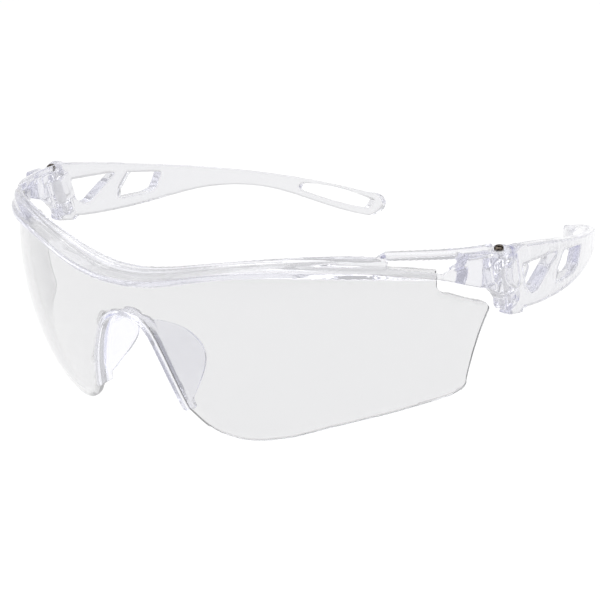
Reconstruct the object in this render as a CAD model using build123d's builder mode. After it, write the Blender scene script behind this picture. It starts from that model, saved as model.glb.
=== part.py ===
"""Clear wraparound safety glasses: brow frame, one-piece lens, nosepiece, two folding temples, two screws.

Millimetres. X runs to the wearer's left, Y from the lens back to the ears, Z up.
Z = 0 is the table the glasses stand on, with the temples open.
"""
from math import cos, radians, sin, sqrt
import os

from build123d import *

os.makedirs("parts", exist_ok=True)

# ---- driving dimensions -------------------------------------------------------------------
hinge_x = 67.5            # hinge axis to the centre plane, at the top of the screw head
hinge_y = -32.75          # places the middle of the overall depth on Y = 0
hinge_z = 42.5            # top of the screw head
hinge_lean = 15.5         # the axis leans, lower end to the back

lens_radius = 76.0        # outer face of the spherical lens
lens_thickness = 2.0
lens_y = hinge_y + 26.5   # centre of the lens sphere
lens_z = 29.7

brow_y = hinge_y + 19.8   # centre of the brow's plan circles
brow_tilt = 14.0          # the brow section rises towards the forehead
rail_outer = 72.3
rail_inner = 70.2
rail_height = 1.4
bar_outer = 71.3
upper_outer = 70.5
upper_inner = 68.4
upper_height = 1.6
bar_end_x = 54.0          # where the thick middle bar stops and the side window starts

# distances down the hinge axis, from the top of the screw head
head_height = 1.2
top_lug_end = 3.6
low_lug_top = 11.9
low_lug_end = 14.8
screw_end = 15.1
lug_gap = 0.3

lug_radius = 2.9
low_lug_radius = 2.35
knuckle_radius = 2.8
screw_radius = 0.8
screw_fit = 0.05          # radial play of the screw
head_radius = 1.1

arm_thickness = 2.2
cheek_radius = 4.9
edge_gap = 0.12           # play around the lens edge

# brow heights at half-span x: underside of the front lip, and top edge at the back
lip_heights = {0: 38.3, 12: 39.4, 24: 42.0, 36: 43.0, 48: 42.1, 58: 40.2, 65.6: 37.3, 68.6: 35.5}
top_heights = {0: 40.55, 12: 41.95, 24: 44.25, 36: 46.0, 46: 46.7, 54: 46.2, 61.4: 44.4, 66.5: 42.7}


def mirrored(points):
    """A left-to-right run from points given on the +X side, first one on the centre plane."""
    return [(-x, z) for x, z in reversed(points[1:])] + list(points)


def on_brow(x, radius, z):
    """Sketch position, on the tilted brow plane, of a point on a plan circle of the brow."""
    y = brow_y - sqrt(radius ** 2 - x ** 2)
    return x, z * cos(radians(brow_tilt)) - (y - hinge_y) * sin(radians(brow_tilt))


brow_plane = Plane(
    origin=(0, hinge_y, 0), x_dir=(1, 0, 0),
    z_dir=(0, -cos(radians(brow_tilt)), -sin(radians(brow_tilt))),
)
front_plane = Plane.XZ.offset(-hinge_y)
hinge_axis = (0, -sin(radians(hinge_lean)), cos(radians(hinge_lean)))
hinge_plane = Plane(origin=(hinge_x, hinge_y, hinge_z), x_dir=(1, 0, 0), z_dir=hinge_axis)

brow_low = mirrored([on_brow(x, rail_outer, z) for x, z in lip_heights.items()])
brow_top = mirrored([on_brow(x, upper_inner, z) for x, z in top_heights.items()])
upper_edge = mirrored(list(top_heights.items()))


def raised(points, amount):
    return [(x, z + amount) for x, z in points]


def band(lower, upper):
    """Closed outline between two curves given as point runs, in the active line builder."""
    low = Spline(*lower)
    high = Spline(*upper)
    Line(low @ 0, high @ 0)
    Line(low @ 1, high @ 1)


def ring(outer, inner):
    """Plan ring of the brow, in the active sketch."""
    with Locations((0, brow_y)):
        Circle(outer)
        Circle(inner, mode=Mode.SUBTRACT)


# ---- shared cutters ------------------------------------------------------------------------
lens_top = [(0, 39.7), (24, 43.3), (46, 44.4), (56, 42.9), (61.3, 41.3)]
notch = [(0, 30.6), (5.6, 28.5), (8.8, 23.0), (11.0, 16.6), (13.2, 8.0)]


def notch_run(grow):
    """Nose notch edge, left to right, grown outwards by an amount."""
    spread = [0, 0.75, 0.95, 1, 1]
    rise = [1, 0.7, 0.3, 0.2, 0]
    return mirrored([(x + grow * s, z + grow * r) for (x, z), s, r in zip(notch, spread, rise)])


with BuildPart() as groove_cut:
    with Locations((0, lens_y, lens_z)):
        Sphere(lens_radius + edge_gap)
        Sphere(lens_radius - lens_thickness - edge_gap, mode=Mode.SUBTRACT)
    with BuildSketch(front_plane):
        with BuildLine():
            band([(-64, 30), (0, 30), (64, 30)], mirrored([(x, z + edge_gap) for x, z in lens_top[:-1]] + [(64, 40.5)]))
        make_face()
    extrude(amount=60, mode=Mode.INTERSECT)

with BuildPart() as clip_cut:
    with Locations((0, lens_y, lens_z)):
        Sphere(lens_radius + edge_gap)
        Sphere(lens_radius - lens_thickness - edge_gap, mode=Mode.SUBTRACT)
    with BuildSketch(front_plane):
        with Locations((0, 20)):
            Rectangle(44, 50)
        with BuildLine():
            edge = Spline(*notch_run(-edge_gap))
            Polyline(edge @ 0, (-16, 0), (16, 0), edge @ 1)
        make_face(mode=Mode.SUBTRACT)
    extrude(amount=60, mode=Mode.INTERSECT)

# ---- brow frame ----------------------------------------------------------------------------
with BuildPart() as middle_bar:
    with BuildSketch(Plane.XY.offset(30)):
        with BuildLine():
            inner = ThreePointArc((-63, hinge_y - 15.1), (0, hinge_y - 46), (63, hinge_y - 15.1))
            Polyline(inner @ 0, (-63, hinge_y - 60), (63, hinge_y - 60), inner @ 1)
        make_face()
        with Locations((0, brow_y)):
            Circle(bar_outer, mode=Mode.INTERSECT)
        with Locations((0, hinge_y - 30)):
            Rectangle(2 * bar_end_x, 80, mode=Mode.INTERSECT)
    extrude(amount=25)
    with BuildSketch(brow_plane):
        with BuildLine():
            band(brow_low, brow_top)
        make_face()
    extrude(amount=70, mode=Mode.INTERSECT)

with BuildPart() as front_rail:
    with BuildSketch(Plane.XY.offset(30)):
        ring(rail_outer, rail_inner)
    extrude(amount=25)
    with BuildSketch(brow_plane):
        with BuildLine():
            band(brow_low, raised(brow_low, rail_height))
        make_face()
    extrude(amount=70, mode=Mode.INTERSECT)

with BuildPart() as upper_bar:
    with BuildSketch(Plane.XY.offset(30)):
        ring(upper_outer, upper_inner)
        with Locations((0, brow_y - upper_outer)):
            Rectangle(2 * bar_end_x - 3, 120, mode=Mode.SUBTRACT)
    extrude(amount=25)
    with BuildSketch(front_plane):
        with BuildLine():
            band(raised(upper_edge, -upper_height), upper_edge)
        make_face()
    extrude(amount=70, mode=Mode.INTERSECT)

with BuildPart() as end_piece:
    with BuildSketch(Plane.XY.offset(20)):
        with BuildLine():
            outer = ThreePointArc((62.8, hinge_y - 16.7), (67.2, hinge_y - 8.0), (69.6, hinge_y - 1.5))
            Polyline(outer @ 1, (69.6, hinge_y + 2), (65.9, hinge_y + 2), (65.3, hinge_y - 5.5),
                     (62.2, hinge_y - 14.5), outer @ 0)
        make_face()
    extrude(amount=30)
    with BuildSketch(Plane.YZ.offset(55)):
        with BuildLine():
            Polyline(
                (hinge_y - 10.8, 43.7), (hinge_y - 3.2, 42.4), (hinge_y - 2.2, 38.2), (hinge_y - 0.2, 30.8),
                (hinge_y + 0.6, 29.2), (hinge_y - 2.2, 32.1), (hinge_y - 4.6, 34.0), (hinge_y - 8.0, 35.3),
                (hinge_y - 13.0, 37.4), (hinge_y - 17.8, 39.4), (hinge_y - 17.8, 40.4),
                (hinge_y - 12.0, 41.6), close=True,
            )
        make_face()
    extrude(amount=20, mode=Mode.INTERSECT)
    # the web under the upper lug is narrower than the brow above it
    with Locations((64.4, hinge_y, 30)):
        Box(4.0, 12, 9, mode=Mode.SUBTRACT)
    with BuildSketch(hinge_plane.offset(-head_height)):
        Circle(lug_radius)
        with Locations((0, -2.5)):
            Rectangle(4.2, 5.0)
    extrude(amount=head_height - top_lug_end)
    with BuildSketch(hinge_plane.offset(-low_lug_top)):
        Circle(low_lug_radius)
        with Locations((0.3, -1.8)):
            Rectangle(3.0, 3.6)
    extrude(amount=low_lug_top - low_lug_end)
with BuildPart() as screw_room:
    with BuildSketch(hinge_plane):
        Circle(screw_radius + screw_fit)
    extrude(amount=-screw_end - 1)
    with BuildSketch(hinge_plane.offset(-head_height)):
        Circle(head_radius + 0.2)
    extrude(amount=5)

with BuildPart() as brow_frame:
    add(middle_bar.part)
    add(front_rail.part)
    add(upper_bar.part)
    add(end_piece.part)
    mirror(end_piece.part, about=Plane.YZ)
    add(groove_cut.part, mode=Mode.SUBTRACT)
    add(screw_room.part, mode=Mode.SUBTRACT)
    mirror(screw_room.part, about=Plane.YZ, mode=Mode.SUBTRACT)

# ---- lens ----------------------------------------------------------------------------------
with BuildPart() as lens:
    with Locations((0, lens_y, lens_z)):
        Sphere(lens_radius)
        Sphere(lens_radius - lens_thickness, mode=Mode.SUBTRACT)
    with BuildSketch(front_plane):
        with BuildLine() as lens_edge:
            top = Spline(*mirrored(lens_top))
            ear = Line(top @ 1, (61.7, 38.3))
            notch_turn = ThreePointArc(ear @ 1, (62.1, 36.6), (63.7, 35.5))
            wing = Line(notch_turn @ 1, (67.1, 32.7))
            corner = ThreePointArc(wing @ 1, (68.4, 31.4), (68.7, 29.6))
            side = Line(corner @ 1, (65.0, 12.9))
            low_corner = ThreePointArc(side @ 1, (63.9, 10.3), (61.4, 9.1))
            lobe = Spline(low_corner @ 1, (44.2, 4.9), (34.0, 1.5), (25.0, 0), (18.0, 2.4), (13.2, 8.0))
            mirror(about=Plane.YZ)
            Spline(*notch_run(0))
        make_face()
    extrude(amount=60, mode=Mode.INTERSECT)
    # square the outer ends to the lens surface
    with BuildSketch(Plane.YZ):
        with BuildLine():
            Polyline((hinge_y - 10.4, 0), (hinge_y - 5.6, 33), (hinge_y - 5.6, 50), (hinge_y - 60, 50),
                     (hinge_y - 60, -1), (hinge_y - 10.4, -1), close=True)
        make_face()
    extrude(amount=80, both=True, mode=Mode.INTERSECT)

# ---- nosepiece -----------------------------------------------------------------------------
with BuildPart() as clip_band:
    with Locations((0, lens_y, lens_z)):
        Sphere(76.9)
        Sphere(72.2, mode=Mode.SUBTRACT)
    with BuildSketch(front_plane):
        with BuildLine():
            wide = Spline(*notch_run(0.5))
            Line(wide @ 0, wide @ 1)
        make_face()
        with BuildLine():
            narrow = Spline(*notch_run(-0.7))
            Line(narrow @ 0, narrow @ 1)
        make_face(mode=Mode.SUBTRACT)
    extrude(amount=60, mode=Mode.INTERSECT)

rail_dir = Vector(6.8, 3.7, -19.7).normalized()
back_dir = (Vector(0, 1, 0) - rail_dir * rail_dir.Y).normalized()
wing_plane = Plane(
    origin=(6.7, hinge_y - 49.0, 28.0), x_dir=rail_dir, z_dir=rail_dir.cross(back_dir),
)

with BuildPart() as pad_wing:
    with BuildSketch(wing_plane):
        with BuildLine():
            rim = Spline((-3.0, 0.8), (-0.6, 4.0), (4.7, 9.6), (9.4, 12.3), (13.6, 12.6), (16.6, 9.8), (19.4, 4.6), (21.6, 0.8))
            Line(rim @ 0, rim @ 1)
        make_face()
    extrude(amount=0.65, both=True)
    with BuildSketch(front_plane):
        with BuildLine():
            span = Spline(*notch_run(0.4))
            Line(span @ 0, span @ 1)
        make_face()
    extrude(amount=60, mode=Mode.INTERSECT)

with BuildPart() as nosepiece:
    add(clip_band.part)
    add(pad_wing.part)
    mirror(pad_wing.part, about=Plane.YZ)
    add(clip_cut.part, mode=Mode.SUBTRACT)

# ---- temples -------------------------------------------------------------------------------
with BuildPart() as left_temple:
    with BuildSketch(Plane.XY.offset(-5)):
        with BuildLine():
            Spline(
                (69.3, hinge_y - 1), (69.5, hinge_y + 20), (68.1, hinge_y + 40), (63.9, hinge_y + 60),
                (56.3, hinge_y + 80), (45.3, hinge_y + 100), (31.4, hinge_y + 120),
            )
        trace(line_width=arm_thickness)
        # the openwork part is thicker, on the inside
        with BuildLine():
            Spline((68.2, hinge_y - 1), (68.4, hinge_y + 20), (67.3, hinge_y + 38), (64.3, hinge_y + 58))
        trace(line_width=arm_thickness)
    extrude(amount=55)
    with BuildSketch(Plane.YZ):
        with BuildLine():
            arm_top = Spline(
                (hinge_y + 3.0, 41.9), (hinge_y + 21, 37.8), (hinge_y + 41, 32.3), (hinge_y + 60, 27.2),
                (hinge_y + 83, 20.3), (hinge_y + 102, 13.3), (hinge_y + 114, 7.9),
            )
            tip = ThreePointArc(arm_top @ 1, (hinge_y + 117.9, 2.9), (hinge_y + 113.5, 0))
            arm_low = Spline(
                tip @ 1, (hinge_y + 99, 7.1), (hinge_y + 86, 14.1), (hinge_y + 73, 18.4),
                (hinge_y + 59, 20.4), (hinge_y + 40, 21.2), (hinge_y + 24, 22.7), (hinge_y + 9.2, 25.3),
            )
            Polyline(arm_low @ 1, (hinge_y + 7.6, 24.5), (hinge_y + 1.5, 26.0), (hinge_y + 0.6, 27.2),
                     (hinge_y + 3.0, 30.0), arm_top @ 0)
        make_face()
        with BuildLine():
            front_gap = Polyline(
                (hinge_y + 6.7, 36.4), (hinge_y + 25.6, 33.7), (hinge_y + 14.0, 28.4), (hinge_y + 11.2, 28.5),
                (hinge_y + 9.0, 30.4),
                close=True,
            )
        make_face(mode=Mode.SUBTRACT)
        with BuildLine():
            rear_gap = Polyline(
                (hinge_y + 31.6, 32.1), (hinge_y + 44.0, 29.3), (hinge_y + 41.4, 25.1), (hinge_y + 38.2, 24.5),
                (hinge_y + 27.0, 25.7), (hinge_y + 27.4, 28.2), close=True,
            )
        make_face(mode=Mode.SUBTRACT)
        with BuildLine():
            slot_top = Spline(
                (hinge_y + 94.4, 14.6), (hinge_y + 103.2, 11.8), (hinge_y + 109.8, 8.5), (hinge_y + 115.0, 5.2),
            )
            slot_end = Line(slot_top @ 1, (hinge_y + 113.4, 2.7))
            slot_low = Spline(slot_end @ 1, (hinge_y + 108.2, 4.7), (hinge_y + 101.7, 7.9), (hinge_y + 94.2, 12.1))
            ThreePointArc(slot_low @ 1, (hinge_y + 93.2, 13.4), slot_top @ 0)
        make_face(mode=Mode.SUBTRACT)
    extrude(amount=80, mode=Mode.INTERSECT)
    # rounded cheek outside the hinge, block behind it, then the knuckle
    with BuildSketch(Plane.YZ.offset(68.6)):
        with Locations((hinge_y + 4.4, 37.2)):
            Circle(cheek_radius)
    extrude(amount=71.1 - 68.6)
    with BuildSketch(Plane.YZ.offset(65.6)):
        with BuildLine():
            Polyline(
                (hinge_y + 1.8, 39.4), (hinge_y + 3.9, 39.4), (hinge_y + 5.6, 33.0), (hinge_y + 6.6, 27.0),
                (hinge_y + 4.0, 27.4), (hinge_y + 2.0, 33.0), close=True,
            )
        make_face()
    extrude(amount=70.2 - 65.6)
    with BuildSketch(hinge_plane.offset(-top_lug_end - lug_gap)):
        Circle(knuckle_radius)
        with Locations((0.4, 2)):
            Rectangle(4.6, 4)
    extrude(amount=top_lug_end + 2 * lug_gap - low_lug_top)
    # room for the two frame lugs, and the screw hole
    with BuildSketch(hinge_plane.offset(8)):
        Circle(lug_radius + 0.4)
    extrude(amount=-8 - top_lug_end - lug_gap, mode=Mode.SUBTRACT)
    with BuildSketch(hinge_plane.offset(lug_gap - low_lug_top)):
        Circle(low_lug_radius + 0.4)
        with Locations((0, -2.5)):
            Rectangle(2 * low_lug_radius + 0.8, 5.0)
    extrude(amount=low_lug_top - screw_end - 2 * lug_gap, mode=Mode.SUBTRACT)
    with BuildSketch(hinge_plane):
        Circle(screw_radius + screw_fit)
    extrude(amount=-screw_end, mode=Mode.SUBTRACT)

with BuildPart() as right_temple:
    mirror(left_temple.part, about=Plane.YZ)

# ---- hinge screws --------------------------------------------------------------------------
with BuildPart() as left_hinge_screw:
    with BuildSketch(hinge_plane.offset(-head_height)):
        Circle(head_radius)
    extrude(amount=head_height)
    fillet(left_hinge_screw.faces().sort_by(Axis((0, 0, 0), hinge_axis))[-1].edges(), radius=0.35)
    with BuildSketch(hinge_plane.offset(-head_height)):
        Circle(screw_radius)
    extrude(amount=head_height - screw_end)
    with BuildSketch(hinge_plane):
        Rectangle(2 * head_radius + 1, 0.45)
    extrude(amount=-0.45, mode=Mode.SUBTRACT)

with BuildPart() as right_hinge_screw:
    mirror(left_hinge_screw.part, about=Plane.YZ)

# ---- files ---------------------------------------------------------------------------------
named = {
    "brow_frame": brow_frame, "lens": lens, "nosepiece": nosepiece, "left_temple": left_temple,
    "right_temple": right_temple, "left_hinge_screw": left_hinge_screw, "right_hinge_screw": right_hinge_screw,
}
for name, builder in named.items():
    builder.part.label = name
    export_step(builder.part, f"parts/{name}.step")
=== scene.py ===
from math import asin, atan2, cos, pi, radians, sin, sqrt

import bmesh
import bpy
from mathutils import Matrix, Vector
from mathutils.geometry import delaunay_2d_cdt


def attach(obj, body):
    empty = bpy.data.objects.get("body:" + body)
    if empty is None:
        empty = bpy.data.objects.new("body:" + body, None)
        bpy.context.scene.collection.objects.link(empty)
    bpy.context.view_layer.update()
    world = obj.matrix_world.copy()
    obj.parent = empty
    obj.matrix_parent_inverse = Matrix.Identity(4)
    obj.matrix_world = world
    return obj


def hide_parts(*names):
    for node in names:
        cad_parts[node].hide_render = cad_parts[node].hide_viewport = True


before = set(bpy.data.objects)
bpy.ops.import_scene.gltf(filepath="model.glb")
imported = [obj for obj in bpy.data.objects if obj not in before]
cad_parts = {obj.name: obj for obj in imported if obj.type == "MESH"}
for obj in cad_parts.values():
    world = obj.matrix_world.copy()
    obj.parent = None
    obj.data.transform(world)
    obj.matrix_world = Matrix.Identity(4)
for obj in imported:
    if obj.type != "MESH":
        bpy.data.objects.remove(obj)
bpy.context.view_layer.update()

scene = bpy.context.scene
MM = 0.001

# the same driving sizes as the CAD part, in millimetres
HINGE_Y = -32.75
LENS_RADIUS, LENS_THICKNESS = 76.0, 2.0
LENS_CENTRE = Vector((0, HINGE_Y + 26.5, 29.7))

# the mesh of the lens, in millimetres
RIM_ROUND = 0.3  # rounding of the edge, as an inset of the two faces
RIM_STEPS = 6  # bands across the rounded rim
CURVE_STEPS = 8  # points to an arc, or to one span of a curve
TOP_STEPS = 10  # the same, along the long top edge
EDGE_STEP = 0.8  # spacing of the points along the outline
GRID_STEP = 2.2  # spacing of the points inside it
ROW_RATIO = 0.866  # distance between rows of equal triangles, in steps

KEEP = 0.5  # share of the triangles that a moulded piece keeps
POLYCARBONATE_IOR = 1.585
PASSING = 0.995  # share of lamp and bounced light that passes each surface
TRAPPED_DEPTH = 5.5  # bounces after which a ray goes straight on

# the view: turn, downward tilt and roll of the camera, and its place in metres
AZ, EL, ROLL = radians(34.662), radians(21.793), radians(-1.890)
CAMERA_AT = (0.19695, -0.2979, 0.1479)
FLOOR_DROP = 0.040  # the floor lies this far below the plane that the open glasses rest on
BOUNCES = 32


# ---- materials ------------------------------------------------------------------------------
def new_material(name):
    mat = bpy.data.materials.new(name)
    mat.use_nodes = True
    nodes, links = mat.node_tree.nodes, mat.node_tree.links
    nodes.clear()
    return mat, nodes, links


def clear_plastic(name, face, tint_and_shade, density, roughness, wave_scale, wave_height,
                  ior=POLYCARBONATE_IOR):
    """Clear plastic: refracting surface with faint flow waves, coloured by its thickness; the
    grey in its surface and absorption colours is painted shade.
    """
    mat, nodes, links = new_material(name)
    out = nodes.new("ShaderNodeOutputMaterial")
    body = nodes.new("ShaderNodeBsdfPrincipled")
    # painted shade: the grey of the surface colour stands in for the dimmer floor seen through
    # the piece
    body.inputs["Base Color"].default_value = (*face, 1)
    body.inputs["Roughness"].default_value = roughness
    body.inputs["IOR"].default_value = ior
    body.inputs["Transmission Weight"].default_value = 1.0
    coords = nodes.new("ShaderNodeTexCoord")
    waves = nodes.new("ShaderNodeTexNoise")
    waves.inputs["Scale"].default_value = wave_scale
    waves.inputs["Detail"].default_value = 2.0
    bump = nodes.new("ShaderNodeBump")
    bump.inputs["Strength"].default_value = 1.0
    bump.inputs["Distance"].default_value = wave_height
    links.new(coords.outputs["Object"], waves.inputs["Vector"])
    links.new(waves.outputs["Fac"], bump.inputs["Height"])
    links.new(bump.outputs["Normal"], body.inputs["Normal"])
    # render aid: lamp light and bounced light pass through, so the plastic casts almost no shadow
    path = nodes.new("ShaderNodeLightPath")
    open_path = nodes.new("ShaderNodeMath")
    open_path.operation = "MAXIMUM"
    # render aid: a ray caught in many inner reflections goes straight on, so that narrow walls
    # don't render black
    trapped = nodes.new("ShaderNodeMath")
    trapped.operation = "GREATER_THAN"
    trapped.inputs[1].default_value = TRAPPED_DEPTH
    leak = nodes.new("ShaderNodeMath")
    leak.operation = "MAXIMUM"
    passing = nodes.new("ShaderNodeBsdfTransparent")
    passing.inputs["Color"].default_value = (PASSING, PASSING, PASSING, 1)
    mix = nodes.new("ShaderNodeMixShader")
    links.new(path.outputs["Is Shadow Ray"], open_path.inputs[0])
    links.new(path.outputs["Is Diffuse Ray"], open_path.inputs[1])
    links.new(path.outputs["Ray Depth"], trapped.inputs[0])
    links.new(open_path.outputs["Value"], leak.inputs[0])
    links.new(trapped.outputs["Value"], leak.inputs[1])
    links.new(leak.outputs["Value"], mix.inputs["Fac"])
    links.new(body.outputs["BSDF"], mix.inputs[1])
    links.new(passing.outputs["BSDF"], mix.inputs[2])
    links.new(mix.outputs["Shader"], out.inputs["Surface"])
    # painted shade: the absorption colour holds the plastic's own hue with painted grey shade
    # mixed in
    depth = nodes.new("ShaderNodeVolumeAbsorption")
    depth.inputs["Color"].default_value = (*tint_and_shade, 1)
    depth.inputs["Density"].default_value = density
    links.new(depth.outputs["Volume"], out.inputs["Volume"])
    return mat


def grain_ramp(nodes, low, high):
    """Ramp between two colours, driven by a noise of fine scratches."""
    ramp = nodes.new("ShaderNodeValToRGB")
    ends = ramp.color_ramp.elements
    ends[0].position, ends[1].position = 0.35, 0.75
    ends[0].color, ends[1].color = (*low, 1), (*high, 1)
    return ramp


def dark_metal(name):
    """Screw: dark brownish metal on the head; the shaft is painted pale and non-metallic, painted
    light that stands in for the bright look of the screw inside the clear plastic.
    """
    mat, nodes, links = new_material(name)
    out = nodes.new("ShaderNodeOutputMaterial")
    body = nodes.new("ShaderNodeBsdfPrincipled")
    coords = nodes.new("ShaderNodeTexCoord")
    noise = nodes.new("ShaderNodeTexNoise")
    noise.inputs["Scale"].default_value = 2500.0
    ramp = grain_ramp(nodes, (0.03, 0.027, 0.027), (0.20, 0.16, 0.12))
    # painted light: pale, non-metallic shaft colour in place of the screw's bright look inside
    # the clear plastic
    shaft = grain_ramp(nodes, (0.80, 0.80, 0.83), (0.96, 0.96, 0.98))
    place = nodes.new("ShaderNodeSeparateXYZ")
    # the head starts at this height above the table, in metres
    head = nodes.new("ShaderNodeMapRange")
    head.inputs["From Min"].default_value, head.inputs["From Max"].default_value = 0.0414, 0.0419
    blend = nodes.new("ShaderNodeMix")
    blend.data_type = "RGBA"
    rough = nodes.new("ShaderNodeMapRange")
    rough.inputs["To Min"].default_value, rough.inputs["To Max"].default_value = 0.28, 0.5
    links.new(coords.outputs["Object"], noise.inputs["Vector"])
    links.new(noise.outputs["Fac"], ramp.inputs["Fac"])
    links.new(noise.outputs["Fac"], rough.inputs["Value"])
    links.new(noise.outputs["Fac"], shaft.inputs["Fac"])
    links.new(coords.outputs["Object"], place.inputs["Vector"])
    links.new(place.outputs["Z"], head.inputs["Value"])
    links.new(head.outputs["Result"], blend.inputs["Factor"])
    links.new(head.outputs["Result"], body.inputs["Metallic"])
    links.new(shaft.outputs["Color"], blend.inputs[6])
    links.new(ramp.outputs["Color"], blend.inputs[7])
    links.new(blend.outputs[2], body.inputs["Base Color"])
    links.new(rough.outputs["Result"], body.inputs["Roughness"])
    links.new(body.outputs["BSDF"], out.inputs["Surface"])
    return mat


# painted shade: the lens's neutral grey surface and absorption colours stand in for the shaded
# floor seen through it, and the rim's darker surface colour paints the dark line along the lens
# edge
LENS_CLEAR = clear_plastic(
    "lens_clear", (0.805, 0.805, 0.812), (0.80, 0.80, 0.807), 100, 0.0, 60, 0.000004)
RIM_CLEAR = clear_plastic(
    "lens_rim_clear", (0.66, 0.66, 0.69), (0.80, 0.80, 0.81), 130, 0.22, 900, 0.00003)
# painted shade: the grey level of these surface colours stands in for the dimmer floor seen
# through the pieces; their lavender hue is the plastic's own colour
FRAME_CLEAR = clear_plastic(
    "frame_clear", (0.86, 0.86, 0.872), (0.74, 0.74, 0.86), 60, 0.06, 220, 0.00004)
NOSE_CLEAR = clear_plastic(
    "nose_clear", (0.955, 0.955, 0.98), (0.70, 0.71, 0.88), 60, 0.10, 300, 0.00005, ior=1.5)
TEMPLE_CLEAR = clear_plastic(
    "temple_clear", (0.82, 0.82, 0.828), (0.78, 0.78, 0.88), 40, 0.09, 180, 0.00006)
SCREW_METAL = dark_metal("screw_dark_steel")


# ---- meshes ---------------------------------------------------------------------------------
def add_object(name, mesh, mat, body, node):
    ob = bpy.data.objects.new(name, mesh)
    scene.collection.objects.link(ob)
    ob.data.materials.clear()
    ob.data.materials.append(mat)
    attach(ob, body)
    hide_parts(node)


def moulded(node, name, mat, body, voxel, rounds):
    """A piece in a CAD node's shape with every edge rounded off as a mould leaves it."""
    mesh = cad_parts[node].data.copy()
    mesh.name = name
    work = bpy.data.objects.new(name + "_work", mesh)
    scene.collection.objects.link(work)
    remesh = work.modifiers.new("remesh", "REMESH")
    remesh.mode = "VOXEL"
    remesh.voxel_size = voxel
    remesh.use_smooth_shade = True
    soften = work.modifiers.new("soften", "SMOOTH")
    soften.factor = 0.5
    soften.iterations = rounds
    thin = work.modifiers.new("thin", "DECIMATE")
    thin.ratio = KEEP
    graph = bpy.context.evaluated_depsgraph_get()
    final = bpy.data.meshes.new_from_object(work.evaluated_get(graph), depsgraph=graph)
    bpy.data.objects.remove(work)
    for face in final.polygons:
        face.use_smooth = True
    final.name = name
    add_object(name, final, mat, body, node)


def arc(a, m, b, n):
    """n points after a on the circle through a, m, b."""
    (ax, ay), (bx, by), (cx, cy) = a, m, b
    d = 2 * (ax * (by - cy) + bx * (cy - ay) + cx * (ay - by))
    aa, bb, cc = ax**2 + ay**2, bx**2 + by**2, cx**2 + cy**2
    ux = (aa * (by - cy) + bb * (cy - ay) + cc * (ay - by)) / d
    uy = (aa * (cx - bx) + bb * (ax - cx) + cc * (bx - ax)) / d
    a0, a1, a2 = (atan2(p[1] - uy, p[0] - ux) for p in (a, m, b))
    turn = (a2 - a0) % (2 * pi)
    if (a1 - a0) % (2 * pi) > turn:
        turn -= 2 * pi
    r = sqrt((ax - ux) ** 2 + (ay - uy) ** 2)
    angles = [a0 + turn * k / n for k in range(1, n + 1)]
    return [(ux + r * cos(a), uy + r * sin(a)) for a in angles]


def smooth_run(points, n):
    """Catmull-Rom run through points, n steps a span, without its first point."""
    run = []
    ext = [tuple(2 * a - b for a, b in zip(points[0], points[1]))] + list(points)
    ext.append(tuple(2 * a - b for a, b in zip(points[-1], points[-2])))
    for i in range(1, len(ext) - 2):
        p0, p1, p2, p3 = ext[i - 1 : i + 3]
        for k in range(1, n + 1):
            t = k / n
            run.append(tuple(
                0.5 * (2 * b + (c - a) * t + (2 * a - 5 * b + 4 * c - d) * t * t
                       + (3 * b - a - 3 * c + d) * t**3)
                for a, b, c, d in zip(p0, p1, p2, p3)
            ))
    return run


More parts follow.
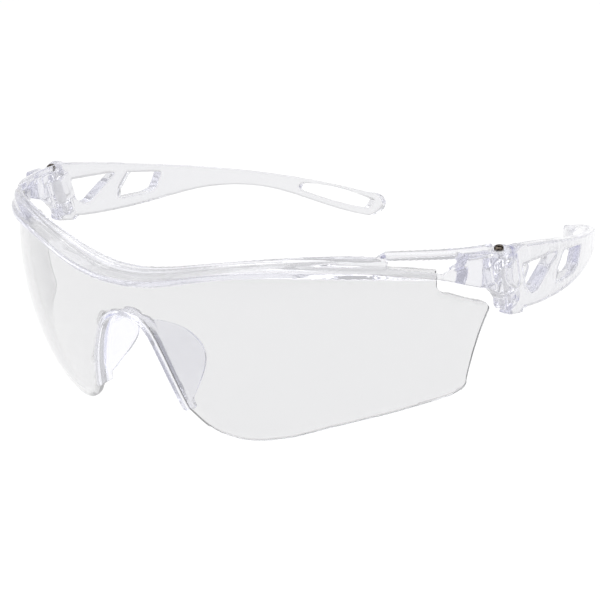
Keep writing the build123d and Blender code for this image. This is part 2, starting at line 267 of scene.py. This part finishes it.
def build_lens():
    """The one-piece spherical lens with a rounded, polished rim."""
    top = [(0, 39.7), (24, 43.3), (46, 44.4), (56, 42.9), (61.3, 41.3)]
    # half of the outline, from the middle of the top edge to the middle of the nose notch
    half = smooth_run([(-24, 43.3)] + top, TOP_STEPS)[TOP_STEPS - 1 :]
    half += [(61.7, 38.3)]
    half += arc((61.7, 38.3), (62.1, 36.6), (63.7, 35.5), CURVE_STEPS)
    half += [(65.4, 34.1), (67.1, 32.7)]
    half += arc((67.1, 32.7), (68.4, 31.4), (68.7, 29.6), CURVE_STEPS)
    half += [(67.4, 24.0), (66.2, 18.4), (65.0, 12.9)]
    half += arc((65.0, 12.9), (63.9, 10.3), (61.4, 9.1), CURVE_STEPS)
    lobe = [(61.4, 9.1), (44.2, 4.9), (34.0, 1.5), (25.0, 0.15), (18.0, 2.4), (13.2, 8.0)]
    half += smooth_run(lobe, CURVE_STEPS)
    notch = [(13.2, 8.0), (11.0, 16.6), (8.8, 23.0), (5.6, 28.5), (0, 30.6)]
    half += smooth_run(notch, CURVE_STEPS)
    outline = half + [(-x, z) for x, z in reversed(half[1:-1])]
    # even spacing along the outline
    dense = []
    for i, a in enumerate(outline):
        b = outline[(i + 1) % len(outline)]
        length = sqrt((a[0] - b[0]) ** 2 + (a[1] - b[1]) ** 2)
        steps = max(1, round(length / EDGE_STEP))
        dense += [
            (a[0] + (b[0] - a[0]) * k / steps, a[1] + (b[1] - a[1]) * k / steps)
            for k in range(steps)
        ]

    def radial(x, z):
        y = -sqrt(max(LENS_RADIUS**2 - x * x - (z - LENS_CENTRE.z) ** 2, 1))
        return Vector((x, y, z - LENS_CENTRE.z)).normalized()

    # unwrapped by angles, so that the grid is even over the sphere
    def to_plane(x, z):
        d = radial(x, z)
        return Vector((atan2(d.x, -d.y) * LENS_RADIUS, asin(d.z) * LENS_RADIUS))

    def from_plane(p, radius):
        lon, lat = p.x / LENS_RADIUS, p.y / LENS_RADIUS
        spoke = Vector((sin(lon) * cos(lat), -cos(lon) * cos(lat), sin(lat)))
        return (LENS_CENTRE + spoke * radius) * MM

    edge = [to_plane(x, z) for x, z in dense]
    count = len(edge)
    area = sum(a.x * b.y - b.x * a.y for a, b in zip(edge, edge[1:] + edge[:1]))
    side = 1 if area > 0 else -1
    inward = []
    for i in range(count):
        t = (edge[(i + 1) % count] - edge[i - 1]).normalized()
        inward.append(Vector((-t.y, t.x)) * side)
    inner = [e + n * RIM_ROUND for e, n in zip(edge, inward)]
    grid = []
    lo_x, hi_x = min(p.x for p in inner), max(p.x for p in inner)
    lo_y, hi_y = min(p.y for p in inner), max(p.y for p in inner)
    rows = int((hi_y - lo_y) / (GRID_STEP * ROW_RATIO)) + 1
    cols = int((hi_x - lo_x) / GRID_STEP) + 1

    def inside(p):
        hit = False
        for i in range(count):
            a, b = inner[i], inner[(i + 1) % count]
            if (a.y > p.y) != (b.y > p.y):
                if p.x < a.x + (p.y - a.y) * (b.x - a.x) / (b.y - a.y):
                    hit = not hit
        return hit

    for r in range(rows):
        for c in range(cols):
            across = (c + 0.5 * (r % 2)) * GRID_STEP
            p = Vector((lo_x + across, lo_y + r * GRID_STEP * ROW_RATIO))
            if inside(p) and min((p - q).length_squared for q in inner) > 1.0:
                grid.append(p)
    loops = [(i, (i + 1) % count) for i in range(count)]
    verts, _, faces, origins, _, _ = delaunay_2d_cdt(inner + grid, loops, [], 1, 1e-6)
    bm = bmesh.new()
    outer_v = [bm.verts.new(from_plane(p, LENS_RADIUS)) for p in verts]
    inner_v = [bm.verts.new(from_plane(p, LENS_RADIUS - LENS_THICKNESS)) for p in verts]
    for f in faces:
        a, b, c = (verts[i] for i in f)
        ccw = (b - a).cross(c - a) > 0
        f = list(f) if ccw else list(reversed(f))
        bm.faces.new([outer_v[i] for i in f])
        bm.faces.new([inner_v[i] for i in reversed(f)])
    index = {}
    for k, src in enumerate(origins):
        for s in src:
            index.setdefault(s, k)
    ring_a = [outer_v[index[i]] for i in range(count)]
    ring_b = [inner_v[index[i]] for i in range(count)]
    # rounded rim: a run of loops between the two faces
    loops_v = [ring_a]
    for k in range(1, RIM_STEPS):
        a = pi * k / RIM_STEPS
        push = RIM_ROUND * sin(a) ** 0.8
        radius = LENS_RADIUS - LENS_THICKNESS * 0.5 * (1 - cos(a))
        loops_v.append([
            bm.verts.new(from_plane(inner[i] - inward[i] * push, radius)) for i in range(count)
        ])
    loops_v.append(ring_b)
    for l0, l1 in zip(loops_v, loops_v[1:]):
        for i in range(count):
            j = (i + 1) % count
            bm.faces.new([l0[i], l0[j], l1[j], l1[i]]).material_index = 1
    bmesh.ops.recalc_face_normals(bm, faces=bm.faces)
    mesh = bpy.data.meshes.new("lens_visual")
    bm.to_mesh(mesh)
    bm.free()
    for face in mesh.polygons:
        face.use_smooth = True
    add_object("lens_visual", mesh, LENS_CLEAR, "front", "lens")
    mesh.materials.append(RIM_CLEAR)


build_lens()
moulded("brow_frame", "brow_visual", FRAME_CLEAR, "front", 0.00022, 14)
moulded("nosepiece", "nosepiece_visual", NOSE_CLEAR, "front", 0.00018, 12)
for side in ("left", "right"):
    temple = side + "_temple"
    moulded(temple, temple + "_visual", TEMPLE_CLEAR, side + "_arm", 0.00024, 26)
    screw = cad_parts[side + "_hinge_screw"]
    screw.data.materials.clear()
    screw.data.materials.append(SCREW_METAL)


# ---- floor, light and camera ----------------------------------------------------------------
def studio_floor():
    mat, nodes, links = new_material("studio_white")
    out = nodes.new("ShaderNodeOutputMaterial")
    body = nodes.new("ShaderNodeBsdfPrincipled")
    body.inputs["Base Color"].default_value = (0.95, 0.95, 0.95, 1)
    body.inputs["Roughness"].default_value = 0.9
    links.new(body.outputs["BSDF"], out.inputs["Surface"])
    bm = bmesh.new()
    # a sweep: flat in front, curving up far behind. It lies low enough for the tip of a folded
    # temple, which swings down because the hinge leans, so the open glasses hang above it
    bend, bend_steps, half_width = 0.6, 12, 2.4
    profile = [(-1.2, 0.0), (0.6, 0.0), (1.2, 0.0)]
    angles = [a * pi / (2 * bend_steps) for a in range(1, bend_steps + 1)]
    profile += [(1.2 + bend * sin(a), bend - bend * cos(a)) for a in angles]
    profile += [(1.8, 2.4)]
    rows = []
    for x in (-half_width, half_width):
        rows.append([bm.verts.new((x, y, z - FLOOR_DROP)) for y, z in profile])
    for i in range(len(profile) - 1):
        bm.faces.new([rows[0][i], rows[1][i], rows[1][i + 1], rows[0][i + 1]])
    mesh = bpy.data.meshes.new("studio_floor")
    bm.to_mesh(mesh)
    bm.free()
    for face in mesh.polygons:
        face.use_smooth = True
    ob = bpy.data.objects.new("studio_floor", mesh)
    scene.collection.objects.link(ob)
    mesh.materials.append(mat)
    ob.rotation_euler = (0, 0, AZ)
    bpy.context.view_layer.update()


studio_floor()

right0 = Vector((cos(AZ), sin(AZ), 0))
ahead = Vector((-sin(AZ) * cos(EL), cos(AZ) * cos(EL), -sin(EL)))
up0 = right0.cross(ahead)
right = right0 * cos(ROLL) + up0 * sin(ROLL)
up = up0 * cos(ROLL) - right0 * sin(ROLL)
camera = bpy.data.objects.new("Camera", bpy.data.cameras.new("Camera"))
scene.collection.objects.link(camera)
camera.matrix_world = Matrix((
    (right.x, up.x, -ahead.x, CAMERA_AT[0]), (right.y, up.y, -ahead.y, CAMERA_AT[1]),
    (right.z, up.z, -ahead.z, CAMERA_AT[2]), (0, 0, 0, 1),
))
camera.data.lens = 84
camera.data.sensor_width = 36
camera.data.clip_start = 0.01
scene.camera = camera


def soft_box(name, at, target, size, watts):
    lamp = bpy.data.lights.new(name, "AREA")
    lamp.shape = "RECTANGLE"
    lamp.size, lamp.size_y = size
    lamp.energy = watts
    ob = bpy.data.objects.new(name, lamp)
    scene.collection.objects.link(ob)
    ob.location = at
    aim = Vector(target) - Vector(at)
    ob.rotation_euler = aim.to_track_quat("-Z", "Y").to_euler()


soft_box("key_overhead", (0.0, 0.1, 1.1), (0, 0, 0), (1.6, 1.6), 8.8)
soft_box("fill_left", (-1.0, -0.5, 0.6), (0, 0, 0.02), (0.9, 0.9), 1.0)
soft_box("back_glow", (-0.5, 1.0, 0.8), (0, 0.3, 0.1), (1.4, 0.8), 1.9)

world = bpy.data.worlds.new("studio_world")
scene.world = world
world.use_nodes = True
background = world.node_tree.nodes["Background"]
background.inputs["Color"].default_value = (1, 1, 1, 1)
background.inputs["Strength"].default_value = 0.63
scene.view_settings.view_transform = "Standard"
scene.cycles.max_bounces = BOUNCES
scene.cycles.transmission_bounces = BOUNCES
scene.cycles.glossy_bounces = BOUNCES
scene.cycles.transparent_max_bounces = 16
